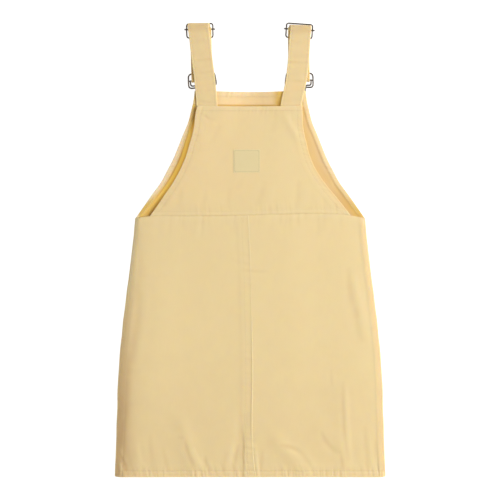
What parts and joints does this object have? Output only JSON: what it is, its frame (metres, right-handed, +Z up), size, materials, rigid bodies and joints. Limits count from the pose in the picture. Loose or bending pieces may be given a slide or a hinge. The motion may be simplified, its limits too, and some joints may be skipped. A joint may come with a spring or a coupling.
{
  "type": "overall skirt",
  "caption": "Child's sleeveless overall skirt in plain woven cotton, laid face down: A-line skirt, bib front and back, shoulder straps with wire sliders and hooks on buttons.",
  "frame": {"origin": "middle of the bottom of the bounding box, on the surface that the garment lies on", "axes": "+Y from the hem to the shoulders, +Z up from the surface, out of the garment's back, +X across to the right as seen from above"},
  "size_m": [0.406, 0.681, 0.0122],
  "materials": {
    "cotton_twill": "soft washed pale yellow cotton twill, matt",
    "patch_twill": "the same twill in a slightly greener tone, matt, plain",
    "nickel_wire": "drawn steel wire, dull grey nickel plating"
  },
  "bodies": {
    "root": {"front_skirt": "cotton_twill", "front_bib": "cotton_twill", "back_skirt_left": "cotton_twill", "back_skirt_right": "cotton_twill", "back_bib": "cotton_twill", "label_patch": "patch_twill", "strap_left": "cotton_twill", "strap_right": "cotton_twill", "slider_left": "nickel_wire", "slider_right": "nickel_wire", "hook_left": "nickel_wire", "hook_right": "nickel_wire", "bib_button_left": "nickel_wire", "bib_button_right": "nickel_wire"}
  },
  "joints": []
}
